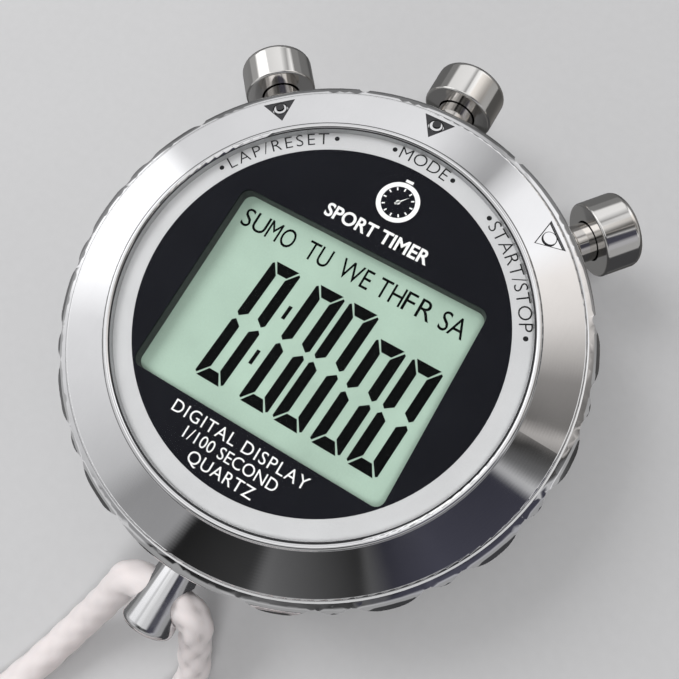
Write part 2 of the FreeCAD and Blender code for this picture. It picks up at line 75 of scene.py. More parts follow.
# ---- camera ----
def make_camera():
    """A close view from above; up_clock is the clock angle that points up in the view."""
    place = Vector((18.36, -13.39, 90.10)) * MM
    aim = Vector((3.42, -0.63, 17.0)) * MM
    up_clock, sensor, focal_length = -30.5, 36, 34.46
    back = (place - aim).normalized()
    right = polar(1, up_clock, 0).cross(back).normalized()
    up = back.cross(right)
    data = bpy.data.cameras.new("camera")
    data.sensor_width, data.lens = sensor, focal_length
    data.clip_start = 5 * MM
    camera = bpy.data.objects.new("camera", data)
    scene.collection.objects.link(camera)
    turn = Matrix((right, up, back)).transposed().to_4x4()
    camera.matrix_world = Matrix.Translation(place) @ turn
    scene.camera = camera


# ---- mesh helpers ----
SHARP_ANGLE = math.radians(35)
LATHE_STEPS = 192


def piece(name, verts, faces, material, smooth=True):
    """A new object from its corners, in metres, and its faces."""
    mesh = bpy.data.meshes.new(name)
    mesh.from_pydata([tuple(v) for v in verts], [], faces)
    return mesh_piece(name, mesh, material, smooth)


def mesh_piece(name, mesh, material, smooth=True):
    """A new object of one material from a mesh, with its faces turned outward."""
    work = bmesh.new()
    work.from_mesh(mesh)
    bmesh.ops.recalc_face_normals(work, faces=work.faces)
    work.to_mesh(mesh)
    work.free()
    mesh.materials.clear()
    mesh.materials.append(material)
    mesh.polygons.foreach_set("use_smooth", [smooth] * len(mesh.polygons))
    made = bpy.data.objects.new(name, mesh)
    scene.collection.objects.link(made)
    return made


def lathe(name, profile, material):
    """A closed ring turned about Z from a closed outline of (radius, z) points in millimetres."""
    count = len(profile)
    verts, faces = [], []
    for step in range(LATHE_STEPS):
        turn = 2 * math.pi * step / LATHE_STEPS
        verts += [(r * math.cos(turn) * MM, r * math.sin(turn) * MM, z * MM) for r, z in profile]
    for step in range(LATHE_STEPS):
        after = (step + 1) % LATHE_STEPS
        for k in range(count):
            k2 = (k + 1) % count
            faces.append((step * count + k, after * count + k, after * count + k2, step * count + k2))
    made = piece(name, verts, faces, material)
    made.data.set_sharp_from_angle(angle=SHARP_ANGLE)
    return made


def plate(outline, z0, z1):
    """Corners and faces of a flat closed plate from an outline of (x, y) points, all in metres."""
    count = len(outline)
    verts = [(x, y, z) for z in (z0, z1) for x, y in outline]
    faces = [tuple(range(count))[::-1], tuple(range(count, 2 * count))]
    faces += [(k, (k + 1) % count, count + (k + 1) % count, count + k) for k in range(count)]
    return verts, faces


def plates(name, outlines, z0, z1, material):
    """One piece of several flat plates with outlines in millimetres."""
    verts, faces = [], []
    for outline in outlines:
        base = len(verts)
        more, sides = plate([(x * MM, y * MM) for x, y in outline], z0, z1)
        verts += more
        faces += [tuple(base + k for k in face) for face in sides]
    return piece(name, verts, faces, material, smooth=False)


# ---- material recipes ----
class Recipe:
    """A node material: one Principled shader, and short ways to make the nodes that feed it."""

    def __init__(self, name, **constants):
        self.material = bpy.data.materials.new(name)
        self.material.use_nodes = True
        self.tree = self.material.node_tree
        self.shader = self.tree.nodes["Principled BSDF"]
        self.feed(self.shader, constants)
        self.place = self.add("ShaderNodeTexCoord").outputs["Object"]

    def feed(self, node, inputs):
        """Link or set each named input; an underscore stands for a space."""
        for name, value in inputs.items():
            socket = node.inputs[name.replace("_", " ")]
            if isinstance(value, bpy.types.NodeSocket):
                self.tree.links.new(value, socket)
            elif isinstance(value, tuple) and socket.type == "RGBA" and len(value) == 3:
                socket.default_value = (*value, 1.0)
            else:
                socket.default_value = value

    def add(self, kind, settings=None, **inputs):
        """A new node with its settings and inputs."""
        node = self.tree.nodes.new(kind)
        for name, value in (settings or {}).items():
            setattr(node, name, value)
        self.feed(node, inputs)
        return node

    def set(self, **inputs):
        self.feed(self.shader, inputs)
        return self

    def stretched(self, x, y, z, source=None):
        """Coordinates in periods per metre along each axis."""
        node = self.add("ShaderNodeVectorMath", {"operation": "MULTIPLY"})
        self.tree.links.new(source or self.place, node.inputs[0])
        node.inputs[1].default_value = (x, y, z)
        return node.outputs[0]

    def noise(self, scale, detail, source=None):
        node = self.add("ShaderNodeTexNoise", Vector=source or self.place, Scale=scale, Detail=detail)
        return node.outputs["Fac"]

    def cells(self, scale):
        return self.add("ShaderNodeTexVoronoi", Vector=self.place, Scale=scale).outputs["Distance"]

    def waves(self, scale, distortion, detail, **settings):
        node = self.add("ShaderNodeTexWave", settings, Vector=self.place, Scale=scale,
                        Distortion=distortion, Detail=detail)
        return node.outputs["Fac"]

    def level(self, value, low, high, start=0.3, end=0.7):
        """A number that runs from low to high as value goes from start to end."""
        return self.add("ShaderNodeMapRange", Value=value, From_Min=start, From_Max=end,
                        To_Min=low, To_Max=high).outputs["Result"]

    def ramp(self, value, *stops):
        """Colours blended along value, from (position, colour) pairs."""
        node = self.add("ShaderNodeValToRGB", Fac=value)
        marks = node.color_ramp.elements
        while len(marks) < len(stops):
            marks.new(0.5)
        for mark, (position, colour) in zip(marks, stops):
            mark.position, mark.color = position, (*colour, 1.0)
        return node.outputs["Color"]

    def tones(self, value, colour, dark, light):
        """One colour from a darker to a lighter shade; dark and light are (position, factor) pairs."""
        return self.ramp(value, (dark[0], shade(colour, dark[1])), (light[0], shade(colour, light[1])))

    def sum(self, first, second, share):
        """first with a share of second added."""
        node = self.add("ShaderNodeMath", {"operation": "MULTIPLY_ADD"})
        self.tree.links.new(second, node.inputs[0])
        node.inputs[1].default_value = share
        self.tree.links.new(first, node.inputs[2])
        return node.outputs[0]

    def bump(self, height, strength, depth_mm, under=None):
        """A surface direction bent by a height pattern, over another one if it is given."""
        inputs = {"Height": height, "Strength": strength, "Distance": depth_mm * MM}
        if under:
            inputs["Normal"] = under
        return self.add("ShaderNodeBump", **inputs).outputs["Normal"]


def shade(colour, factor):
    """The colour made darker or lighter by a factor."""
    return tuple(min(1.0, c * factor) for c in colour)


def polished(name, colour, roughness, turned=0.0):
    """Mirror-polished plate: faint smudges, fine hairline scratches and, on turned work, lathe rings."""
    r = Recipe(name, Metallic=1.0)
    smudge = r.noise(160.0, 4.0)
    hairs = r.noise(1.0, 4.0, r.stretched(3500.0, 260.0, 900.0))
    r.set(Base_Color=r.tones(r.sum(smudge, hairs, 0.25), colour, (0.35, 0.95), (0.8, 1.0)),
          Roughness=r.level(smudge, roughness * 0.7, roughness * 1.8))
    normal = r.bump(hairs, 0.05, 0.004)
    if turned:
        rings = r.waves(turned, 0.6, 2.0, wave_type="RINGS", rings_direction="Z")
        normal = r.bump(rings, 0.06, 0.004, normal)
    return r.set(Normal=normal).material


def brushed(name, colour, roughness):
    """Rolled or brushed metal: fine lines one way, over slow stains."""
    r = Recipe(name, Metallic=1.0)
    lines = r.noise(1.0, 5.0, r.stretched(400.0, 5200.0, 5200.0))
    stain = r.noise(240.0, 3.0)
    r.set(Base_Color=r.tones(r.sum(lines, stain, 0.4), colour, (0.45, 0.8), (0.95, 1.08)),
          Roughness=r.level(lines, roughness * 0.75, roughness * 1.35),
          Normal=r.bump(lines, 0.25, 0.02))
    return r.material


def moulded(name, colour, roughness=0.5, grain=2200.0, grain_depth=0.02, gloss=0.5, **constants):
    """Moulded or printed plastic: fine grain, slow colour drift and tiny specks."""
    r = Recipe(name, Specular_IOR_Level=gloss, **constants)
    grit = r.noise(grain, 3.0)
    drift = r.noise(120.0, 3.0)
    r.set(Base_Color=r.tones(r.sum(drift, grit, 0.35), colour, (0.4, 0.88), (0.95, 1.1)),
          Roughness=r.level(grit, roughness * 0.85, roughness * 1.15),
          Normal=r.bump(grit, 0.3, grain_depth))
    return r.material


def clear(name, tint, mirror=0.004):
    """A clear sheet: a thin mirror layer that grows toward grazing angles, over faint smears and dust."""
    r = Recipe(name, Metallic=1.0)
    fresnel_power, edge_mirror = 5.0, 0.9
    slope = r.add("ShaderNodeLayerWeight", Blend=0.5).outputs["Facing"]
    grazing = r.add("ShaderNodeMath", {"operation": "POWER"}).outputs[0]
    r.tree.links.new(slope, grazing.node.inputs[0])
    grazing.node.inputs[1].default_value = fresnel_power
    dust = r.level(r.cells(800.0), 0.006, 0.0, 0.0, 0.05)
    smear = r.noise(90.0, 3.0)
    r.set(Base_Color=r.tones(smear, tint, (0.3, 0.92), (0.7, 1.0)),
          Roughness=r.level(smear, 0.03, 0.08),
          Alpha=r.sum(dust, r.level(grazing, mirror, edge_mirror, 0.0, 1.0), 1.0))
    return r.material


def laminate(name, colour):
    """Solder mask over copper tracks that show as slightly raised, lighter lines."""
    r = Recipe(name, Coat_Weight=0.5, Coat_Roughness=0.15)
    tracks = r.add("ShaderNodeTexBrick", {"offset": 0.37, "squash": 1.6, "squash_frequency": 3},
                   Vector=r.place, Scale=520.0, Mortar_Size=0.09, Mortar_Smooth=0.3,
                   Color1=(0.0, 0.0, 0.0), Color2=(0.15, 0.15, 0.15), Mortar=(1.0, 1.0, 1.0)).outputs["Color"]
    weave = r.noise(3000.0, 2.0)
    r.set(Base_Color=r.tones(r.sum(tracks, weave, 0.2), colour, (0.1, 0.8), (0.9, 1.7)),
          Roughness=r.level(weave, 0.3, 0.45),
          Normal=r.bump(tracks, 0.4, 0.03))
    return r.material


def layered(name, dark, light, period):
    """Zebra strip: thin dark conducting layers in lighter rubber."""
    r = Recipe(name, Roughness=0.6)
    bands = r.waves(period, 0.15, 1.0, bands_direction="X")
    r.set(Base_Color=r.ramp(bands, (0.4, dark), (0.6, light)), Normal=r.bump(bands, 0.4, 0.02))
    return r.material


def braided(name, colour):
    """Yarn of a braided cord: fibre streaks along the cord, over painted shade that darkens its colour in the
    grooves between strands.
    """
    r = Recipe(name, Sheen_Weight=0.35, Sheen_Roughness=0.4, Subsurface_Weight=0.15,
               Subsurface_Scale=1.5 * MM, Subsurface_Radius=(1.0, 0.8, 0.7))
    run = r.add("ShaderNodeTexCoord").outputs["UV"]
    fibres = r.noise(1.0, 4.0, r.stretched(90.0, 14.0, 1.0, run))
    # The stored vertex colour is painted shade: it is lower in the braid's grooves, where shade falls, and
    # darkens the base colour there.
    painted_shade_colour = r.add("ShaderNodeVertexColor", {"layer_name": "painted_groove_shade"}).outputs["Color"]
    height = r.add("ShaderNodeSeparateColor", Color=painted_shade_colour).outputs["Red"]
    shade_and_fibres = r.sum(r.level(height, 0.0, 0.7, 0.0, 1.0), fibres, 0.35)
    fuzz = r.noise(5200.0, 2.0)
    r.set(Base_Color=r.ramp(shade_and_fibres, (0.05, shade(colour, 0.62)), (0.45, shade(colour, 0.92)), (0.9, colour)),
          Roughness=r.level(fibres, 0.7, 0.9),
          Normal=r.bump(fuzz, 0.25, 0.02, r.bump(fibres, 0.45, 0.06)))
    return r.material


def woven(name, colour):
    """Plain-woven tape: crossing threads with a fuzzy surface."""
    r = Recipe(name, Sheen_Weight=0.3, Roughness=0.85)
    warp, weft = (r.waves(620.0, 0.8, 2.0, bands_direction=way) for way in ("Y", "Z"))
    weave = r.sum(warp, weft, 0.8)
    r.set(Base_Color=r.tones(weave, colour, (0.3, 0.5), (1.0, 1.6)),
          Normal=r.bump(weave, 0.6, 0.08))
    return r.material


def satin_paint(name, colour):
    """Satin silver-grey paint, barely metallic, with a fine grain of flakes."""
    r = Recipe(name, Metallic=0.05, Specular_IOR_Level=0.2)
    flakes = r.cells(5200.0)
    cloud = r.noise(200.0, 3.0)
    r.set(Base_Color=r.tones(r.sum(cloud, flakes, 0.3), colour, (0.4, 0.95), (0.95, 1.04)),
          Roughness=r.level(flakes, 0.45, 0.58, 0.0, 0.8),
          Normal=r.bump(flakes, 0.12, 0.01))
    return r.material


GOLD = (0.78, 0.60, 0.28)
STEEL = (0.60, 0.60, 0.61)
DISPLAY_GREEN = (0.475, 0.64, 0.527)
finishes = {
    "case_chrome": polished("case_chrome", (0.86, 0.86, 0.87), 0.05),
    "bezel_chrome": polished("bezel_chrome", (0.90, 0.90, 0.91), 0.045, turned=900.0),
    "back_steel": brushed("back_steel", (0.62, 0.62, 0.63), 0.28),
    "black_rubber": moulded("black_rubber", (0.02, 0.02, 0.022), 0.75),
    "screw_steel": brushed("screw_steel", STEEL, 0.25),
    "crystal_clear": clear("crystal_clear", (0.85, 0.87, 0.88), 0.0008),
    "silver_dial": satin_paint("silver_dial", (0.56, 0.565, 0.57)),
    "black_mask": moulded("black_mask", (0.0100, 0.0105, 0.0135), 0.3, 3500.0, 0.003, gloss=0.02),
    "grey_frame": moulded("grey_frame", (0.043, 0.043, 0.046), 0.55, 1800.0, 0.02),
    "polarizer_film": moulded("polarizer_film", DISPLAY_GREEN, 0.55, 4200.0, 0.003, Alpha=0.8),
    "display_glass": clear("display_glass", (0.80, 0.88, 0.84)),
    "green_reflector": moulded("green_reflector", DISPLAY_GREEN, 0.6, 3800.0, 0.006),
    "zebra_rubber": layered("zebra_rubber", (0.02, 0.02, 0.02), (0.22, 0.20, 0.19), 3200.0),
    "module_plastic": moulded("module_plastic", (0.78, 0.78, 0.74), 0.5),
    "board_laminate": laminate("board_laminate", (0.03, 0.22, 0.08)),
    "black_epoxy": moulded("black_epoxy", (0.015, 0.015, 0.016), 0.22, 700.0, 0.05),
    "can_metal": brushed("can_metal", (0.75, 0.75, 0.74), 0.22),
    "ceramic": moulded("ceramic", (0.78, 0.74, 0.64), 0.65, 2600.0, 0.03),
    "cell_steel": brushed("cell_steel", (0.66, 0.66, 0.66), 0.2),
    "contact_metal": brushed("contact_metal", GOLD, 0.22),
    "insulator_film": moulded("insulator_film", (0.85, 0.62, 0.22), 0.35, 1500.0, 0.01),
    "buzzer_brass": brushed("buzzer_brass", shade(GOLD, 0.95), 0.3),
    "spring_steel": brushed("spring_steel", (0.55, 0.55, 0.56), 0.25),
    "cap_chrome": polished("cap_chrome", (0.93, 0.915, 0.89), 0.06),
    "sleeve_chrome": polished("sleeve_chrome", (0.76, 0.73, 0.70), 0.07),
    "stem_steel": brushed("stem_steel", STEEL, 0.2),
    "post_chrome": polished("post_chrome", (0.84, 0.84, 0.85), 0.13),
    "white_cord": braided("white_cord", (0.72, 0.67, 0.665)),
    "tie_fabric": woven("tie_fabric", (0.05, 0.05, 0.055)),
}
black_ink = moulded("black_ink", (0.010, 0.010, 0.011), 0.4, 3000.0, 0.004, gloss=0.2)
# Dark enamel for the engraved outlines, also used as painted reflection on the floors and bosses of two
# button pockets.
enamel_and_painted_reflection = moulded("enamel_and_painted_reflection", (0.035, 0.035, 0.038), 0.35, 3000.0, 0.004, gloss=0.3)
white_ink = moulded("white_ink", (0.86, 0.86, 0.85), 0.5, 3000.0, 0.004)
segment_ink = moulded("segment_ink", (0.002, 0.0025, 0.0025), 0.35, 3600.0, 0.002, gloss=0.05)


def finish_cad_nodes():
    """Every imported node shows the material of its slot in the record."""
    for part in frame["record"]["subparts"]:
        for place in frame["nodes"][part["node"]].material_slots:
            place.material = finishes[part["material_slot"]]


# ---- lettering ----
LETTER_THICK = 0.02
PRINT = 0.01 * MM


def text_object(body):
    """A text object in the built-in font, at size 1."""
    curve = bpy.data.curves.new("text", "FONT")
    curve.body, curve.resolution_u = body, 4
    holder = bpy.data.objects.new("text", curve)
    scene.collection.objects.link(holder)
    bpy.context.view_layer.update()
    return holder


def capital_share():
    """How tall a capital of the built-in font is, as a share of its size."""
    holder = text_object("H")
    height = holder.dimensions.y
    bpy.data.objects.remove(holder)
    return height


cap_share = capital_share()


def text_mesh(body, cap_height, width, bold=0.0):
    """Text whose capitals have this height, letter-spaced to this width, centred on x; all in millimetres.

    bold is how far each stroke's edge moves outward. Text that is too wide at normal spacing is condensed.
    """
    holder = text_object(body)
    curve = holder.data
    curve.offset = bold / cap_height * cap_share
    curve.extrude = LETTER_THICK / 2 / cap_height * cap_share
    scale = cap_height / cap_share
    extra = 0.4
    spans = []
    for spacing in (1.0, 1.0 + extra):
        curve.space_character = spacing
        bpy.context.view_layer.update()
        spans.append(holder.dimensions.x * scale)
    slope = (spans[1] - spans[0]) / extra
    curve.space_character = max(1.0, 1.0 + (width - spans[0]) / slope)
    condense = min(1.0, width / spans[0])
    bpy.context.view_layer.update()
    mesh = bpy.data.meshes.new_from_object(holder.evaluated_get(bpy.context.evaluated_depsgraph_get()))
    bpy.data.objects.remove(holder)
    xs = [v.co.x for v in mesh.vertices]
    middle = (min(xs) + max(xs)) / 2
    size = Matrix.Diagonal((scale * condense * MM, scale * MM, scale * MM, 1))
    mesh.transform(size @ Matrix.Translation((-middle, 0, 0)))
    return mesh


def joined(meshes):
    """One mesh of several, with corners in the same place welded."""
    work = bmesh.new()
    for mesh in meshes:
        work.from_mesh(mesh)
    same_place = 0.0005 * MM
    bmesh.ops.remove_doubles(work, verts=work.verts, dist=same_place)
    whole = bpy.data.meshes.new("joined")
    work.to_mesh(whole)
    work.free()
    return whole


def straight(mesh, x, baseline, z):
    """Move flat text to its middle x and baseline, at a height in metres."""
    mesh.transform(Matrix.Translation((x * MM, baseline * MM, z)))
    return mesh


def bent(mesh, angle, baseline_r, z):
    """Wrap flat text round the dial, with its tops outward and its middle at a clock angle."""
    for vertex in mesh.vertices:
        turn = math.radians(angle) + vertex.co.x / (baseline_r * MM)
        out = baseline_r * MM + vertex.co.y
        vertex.co = (out * math.sin(turn), out * math.cos(turn), vertex.co.z + z)
    return mesh


def dot(radius, x, y, z0, z1):
    """A mesh of a flat round dot."""
    sides = 20
    turns = [2 * math.pi * k / sides for k in range(sides)]
    outline = [((x + radius * math.cos(t)) * MM, (y + radius * math.sin(t)) * MM) for t in turns]
    verts, faces = plate(outline, z0, z1)
    mesh = bpy.data.meshes.new("dot")
    mesh.from_pydata(verts, [], faces)
    return mesh


def make_ring_legends():
    """The three function legends on the silver ring, each between two bullets.

    Each has its middle, its span, and how far its bullets are from the middle, in degrees.
    """
    z = top_of("dial_ring")
    legends = (("LAP/RESET", -43.2, 31.6, 18.3),
               ("MODE", 3.0, 16.1, 9.95),
               ("START/STOP", 47.3, 33.4, 18.6))
    letter_r, letter_h, thinner = 23.2, 1.6, -0.02
    bullet_r, bullet_size = 24.0, 0.31
    meshes = []
    for body, middle, span, reach in legends:
        letters = text_mesh(body, letter_h, math.radians(span) * letter_r, thinner)
        meshes.append(bent(letters, middle, letter_r, z))
        for angle in (middle - reach, middle + reach):
            at = polar(bullet_r, angle, 0)
            meshes.append(dot(bullet_size, at.x, at.y, z - PRINT, z + PRINT))
    made = mesh_piece("ring_legends", joined(meshes), black_ink, smooth=False)
    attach(made, "case")


def arc_band(r_in, r_out, x, y, start, end, steps):
    """Outline of a flat band round (x, y) between two clock angles."""
    angles = [start + (end - start) * k / steps for k in range(steps + 1)]
    outer = [polar(r_out, a, 0) for a in angles]
    inner = [polar(r_in, a, 0) for a in reversed(angles)]
    return [(x + p.x, y + p.y) for p in outer + inner]


def make_dial_emblem():
    """A plain stopwatch sign: a ring in two halves, hour ticks, a crown and one hand."""
    x, y, r_out, r_in = 0.9, 17.75, 2.7, 2.1
    tick_out, tick_in, tick_half = 2.0, 1.6, 0.09
    hand_clock, hand_r, tail_r, hand_half, hub_r = 40, 1.5, 0.45, 0.14, 0.3
    crown_half, crown_low, crown_high = 0.5, y + r_out + 0.12, y + r_out + 0.5
    print_top = 0.012 * MM
    outlines = [arc_band(r_in, r_out, x, y, start, start + 180, 40) for start in (0, 180)]
    for angle in range(0, 360, 30):
        a, b = polar(tick_out, angle, 0), polar(tick_in, angle, 0)
        side = polar(tick_half, angle + 90, 0)
        outlines.append([(x + p.x, y + p.y) for p in (a + side, a - side, b - side, b + side)])
    tip, tail = polar(hand_r, hand_clock, 0), polar(tail_r, hand_clock + 180, 0)
    side = polar(hand_half, hand_clock + 90, 0)
    outlines.append([(x + p.x, y + p.y) for p in (tip, tail - side, tail + side)])
    outlines.append([(x - crown_half, crown_low), (x + crown_half, crown_low),
                     (x + crown_half, crown_high), (x - crown_half, crown_high)])
    outlines.append(arc_band(NO_RADIUS, hub_r, x, y, 0, 359, 16))
    z = top_of("dial_mask")
    made = plates("dial_emblem", outlines, z - PRINT, z + print_top, white_ink)
    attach(made, "case")


def make_dial_text():
    """Generic words printed white on the black dial mask.

    Each line has its middle x, its baseline, its capitals' height, its width and its boldness.
    """
    z = top_of("dial_mask")
    lines = (("SPORT TIMER", 0.65, 12.15, 1.7, 14.2, 0.06),
             ("DIGITAL DISPLAY", -0.35, -17.4, 1.45, 18.3, 0.0),
             ("1/100 SECOND", -0.35, -19.35, 1.4, 12.6, 0.0),
             ("QUARTZ", -0.35, -21.4, 1.45, 8.8, 0.0))
    meshes = [straight(text_mesh(body, cap, width, bold), x, baseline, z)
              for body, x, baseline, cap, width, bold in lines]
    made = mesh_piece("dial_text", joined(meshes), white_ink, smooth=False)
    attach(made, "case")


def make_button_marks():
    """Enamel in the engraved triangles: a thin outline, and on the first two a dark floor and boss top that
    are painted reflection of the dark surroundings mirrored in the chrome.
    """
    pocket_z, centre_r, tilt = top_of("front_bezel") - 1.26 * MM, 29.088 * MM, math.atan(0.2263)
    boss_r, boss_z, clear_r = 0.8, 0.22, 1.02
    ring_in, ring_out = boss_r + 0.01, boss_r + 0.11
    enamel_top = 0.04 * MM
    spot_r, spot_y, spot_low, spot_high = 0.54, 0.18, (boss_z - 0.01) * MM, (boss_z + 0.015) * MM
    arc_steps = 10
    corners = ((0, -2.188), (2.1, 1.162), (-2.1, 1.162))
    outer, inner, floor = ([Vector(corner) * k for corner in corners] for k in (0.99, 0.88, 0.89))
    outline = [(outer[k], outer[k - 1], inner[k - 1], inner[k]) for k in range(3)]
    outline += [arc_band(ring_in, ring_out, 0, 0, start, start + 180, 20) for start in (0, 180)]
    # Dark floor fills: painted reflection of dark surroundings, used only on the lap and mode marks.
    painted_reflection_fills = []
    for corner in floor:
        tip = math.degrees(math.atan2(corner.x, corner.y))
        arc = [polar(clear_r, tip + 60 - 120 * k / arc_steps, 0) for k in range(arc_steps + 1)]
        painted_reflection_fills.append([corner] + [(at.x, at.y) for at in arc])
    for name, angle in BUTTONS:
        # Only the lap and mode marks get the painted reflection on floor and boss.
        dark = name != "start"
        made = [plates(name + "_mark", outline + painted_reflection_fills * dark, 0.0, enamel_top, enamel_and_painted_reflection)]
        if dark:
            # Dark boss top: painted reflection.
            disc = arc_band(NO_RADIUS, spot_r, 0, spot_y, 0, 359, 24)
            made.append(plates(name + "_painted_reflection_spot", [disc], spot_low, spot_high, enamel_and_painted_reflection))
        around = Matrix.Rotation(-math.radians(angle), 4, "Z")
        seat = around @ Matrix.Translation((0, centre_r, pocket_z)) @ Matrix.Rotation(-tilt, 4, "X")
        for each in made:
            each.data.transform(seat)
            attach(each, "case")


# ---- display ----
SLANT = 0.065
DIGIT_FOOT, DIGIT_WIDTH = -12.4, 4.05
TALL, SHORT = 16.95, 14.6


def digit_zero(x, height):
    """The six lit segments of a slanted zero, with chisel ends and hairline gaps."""
    bar, flat, cut, hair = 1.35, 1.4, 0.4, 0.23
    gap, inner_end, outer_end = 0.3, 0.95, 0.6
    width, middle = DIGIT_WIDTH, height / 2
    cap = [(cut, height), (width - cut, height), (width - bar, height - flat), (bar, height - flat)]
    side = [(0, height - cut), (hair, height - hair), (bar, height - flat - gap), (bar, middle + inner_end),
            (cut, middle + hair), (0, middle + outer_end)]
    shapes = [cap, side, [(width - px, py) for px, py in side]]
    shapes += [[(px, height - py) for px, py in shape] for shape in shapes]
    return [[(x + px + SLANT * py, DIGIT_FOOT + py) for px, py in shape] for shape in shapes]


def make_display():
    """Lit segments of the display: five zeros, the colon and the days of the week."""
    z = top_of("lcd_polarizer")
    segment_top = 0.03 * MM
    colon_w, day_height, day_baseline = 0.48, 2.5, 6.6
    outlines = []
    for x, height in ((-10.36, TALL), (-3.98, TALL), (0.74, TALL), (5.93, SHORT), (10.83, SHORT)):
        outlines += digit_zero(x, height)
    for x, y0, y1 in ((-5.15, -8.15, -6.18), (-4.62, -1.46, 0.4)):
        lean = SLANT * (y1 - y0)
        outlines.append([(x, y0), (x + colon_w, y0), (x + colon_w + lean, y1), (x + lean, y1)])
    digits = plates("display_digits", outlines, z - PRINT, z + segment_top, segment_ink)
    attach(digits, "case")
    days = (("SU", -15.9, -12.4), ("MO", -12.2, -8.3), ("TU", -6.5, -3.1), ("WE", -1.6, 2.7),
            ("TH", 3.7, 7.2), ("FR", 7.4, 11.2), ("SA", 12.3, 15.6))
    meshes = [straight(text_mesh(body, day_height, end - start), (start + end) / 2, day_baseline, z + PRINT)
              for body, start, end in days]
    made = mesh_piece("display_days", joined(meshes), segment_ink, smooth=False)
    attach(made, "case")


# ---- lens ----
def make_lens():
    """The lens with a polished edge, inside a silver wall and a thin black seal that shows as a dark line."""
    above_mask, rim, middle_r = 0.06, 0.14, 0.001
    top, low = top_of("crystal") / MM, top_of("dial_mask") / MM + above_mask
    edge_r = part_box("crystal")[1].x / MM
    lens_r = edge_r - rim
    lens_outline = [(middle_r, low), (lens_r, low), (lens_r, top - 0.14), (lens_r - 0.04, top - 0.05),
                    (lens_r - 0.14, top), (middle_r, top)]
    seal_r = lens_r + 0.03
    seal_outline = [(seal_r, top - 0.1), (edge_r, top - 0.1), (edge_r, top - 0.03),
                    (edge_r - 0.03, top - 0.01), (seal_r, top - 0.03)]
    wall_r, wall_top = lens_r + 0.02, top - 0.11
    wall_outline = [(wall_r, low), (edge_r, low), (edge_r, wall_top), (wall_r, wall_top)]
    lens = lathe("lens", lens_outline, finishes["crystal_clear"])
    seal = lathe("lens_seal", seal_outline, finishes["black_rubber"])
    wall = lathe("dial_wall", wall_outline, finishes["silver_dial"])
    for made, slot in ((lens, "crystal_clear"), (seal, "black_rubber"), (wall, "silver_dial")):
        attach(made, "case")
    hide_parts("crystal")


# ---- lanyard ----
# The cord lies on the surface with its axis at LAY_Z. Its braid has grooves of PLAITED depth, and of PULLED
# depth where it is pulled flat.
CORD_D = 4.2
LAY_Z = 2.15
PLAITED, PULLED = 0.34, 0.14
BRAID_STRANDS, BRAID_PITCH = 4, 15.0
CORD_SIDES, CORD_STEP = 32, 0.33
left_route = [(0.0, -36.0, 11.5), (-5.0, -35.9, 11.6), (-6.2, -39.6, 8.2), (-9.3, -46.8, 3.3),
              (-12.6, -57.0, LAY_Z), (-18.6, -70.0, LAY_Z), (-20.6, -82.0, LAY_Z + 0.4), (-19.8, -93.0, 4.6)]
right_route = [(0.0, -36.0, 11.5), (5.0, -36.0, 11.6), (5.0, -39.4, 7.6), (7.0, -44.6, 3.0),
               (5.4, -50.6, LAY_Z), (-0.6, -56.6, LAY_Z), (-6.6, -64.5, LAY_Z), (-9.6, -75.0, LAY_Z + 0.3)]
tail_route = [(-10.6, -80.0, 10.6), (-12.4, -87.0, 8.4), (-15.0, -93.4, 7.0)]
COIL_X, COIL_Y, COIL_R, TIE_T = 13.0, -81.0, 21.1, 0.6
KNOT = Vector((-17.5, -97.0, 6.4))


def coil_turns():
    """Control points of six turns of the put-away cord, two side by side in each of three layers.

    The smooth curve runs at curve_share of its control points' radius.
    """
    per_turn, first_angle = 16, 190.0
    curve_share = 0.981
    inner, outer = COIL_R - CORD_D / 2, COIL_R + CORD_D / 2
    radii = (outer, inner, outer, inner, inner, outer)
    layers = (0, 0, 1, 1, 2, 2)
    last = len(radii) - 1
    points = []
    for turn, (radius, layer) in enumerate(zip(radii, layers)):
        z = TIE_T + CORD_D * (layer + 0.5)
        steps = per_turn if turn < last else per_turn - 1
        reach = radius / curve_share
        for step in range(1, steps):
            angle = math.radians(first_angle + 360.0 * step / per_turn)
            points.append((COIL_X + reach * math.cos(angle), COIL_Y + reach * math.sin(angle), z))
    return points


def spline_points(name, route):
    """Points along the smooth NURBS curve whose control points are the route, in metres."""
    curve = bpy.data.curves.new(name, "CURVE")
    curve.dimensions, curve.resolution_u = "3D", 10
    spline = curve.splines.new("NURBS")
    spline.points.add(len(route) - 1)
    for point, place in zip(spline.points, route):
        point.co = (*(Vector(place) * MM), 1.0)
    spline.order_u = 3
    spline.use_endpoint_u = True
    holder = bpy.data.objects.new(name, curve)
    scene.collection.objects.link(holder)
    mesh = bpy.data.meshes.new_from_object(holder.evaluated_get(bpy.context.evaluated_depsgraph_get()))
    points = [v.co.copy() for v in mesh.vertices]
    bpy.data.objects.remove(holder)
    return points


def evenly(points, spacing):
    """The same line with points an even distance apart, and how far along each one is."""
    line = np.array([tuple(p) for p in points])
    steps = np.linalg.norm(np.diff(line, axis=0), axis=1)
    along = np.concatenate(([0.0], np.cumsum(steps)))
    marks = np.linspace(0.0, along[-1], int(along[-1] / spacing) + 1)
    return np.stack([np.interp(marks, along, line[:, k]) for k in range(3)], axis=1), marks


def carried_frames(line):
    """Two directions across the line at each point, carried along it without twist."""
    heading = np.gradient(line, axis=0)
    heading /= np.linalg.norm(heading, axis=1)[:, None]
    side = np.cross(heading[0], (0.0, 0.0, 1.0))
    sides = []
    for ahead in heading:
        side = side - ahead * np.dot(side, ahead)
        side = side / np.linalg.norm(side)
        sides.append(side)
    sides = np.array(sides)
    return sides, np.cross(heading, sides)


